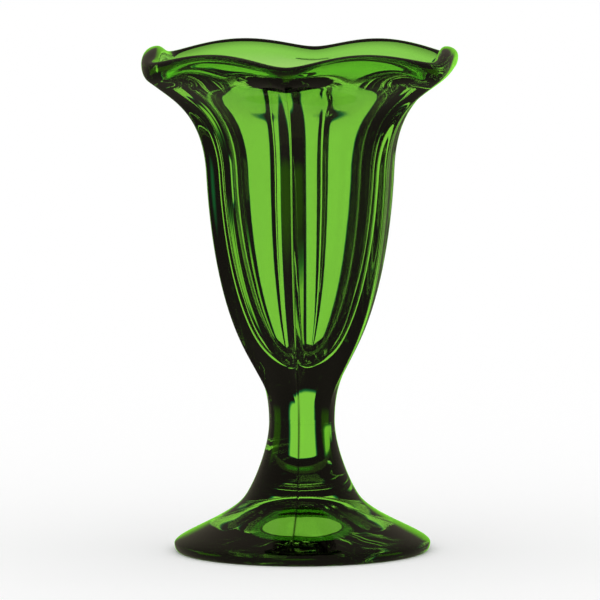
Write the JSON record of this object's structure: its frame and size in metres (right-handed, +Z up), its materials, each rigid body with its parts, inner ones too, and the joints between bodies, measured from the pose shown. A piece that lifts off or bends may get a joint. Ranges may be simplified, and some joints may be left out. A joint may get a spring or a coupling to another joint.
{
  "type": "parfait glass",
  "caption": "Green pressed-glass parfait glass: a tall panelled bowl with a flared, waved rim on a short solid stem and a round domed foot. Holds layered desserts, ice cream or drinks.",
  "frame": {"origin": "middle of the plane that the foot stands on", "axes": "+Z up along the glass's axis; the middles of two opposite bowl panels on the X axis, two opposite ridges on the Y axis"},
  "size_m": [0.1042, 0.1124, 0.169],
  "materials": {
    "bowl_glass": "clear lime-green pressed glass, fire-polished and smooth",
    "stem_glass": "clear lime-green pressed glass, solid and smooth"
  },
  "bodies": {
    "root": {"bowl": "bowl_glass", "stem": "stem_glass", "foot": "stem_glass"}
  },
  "joints": []
}
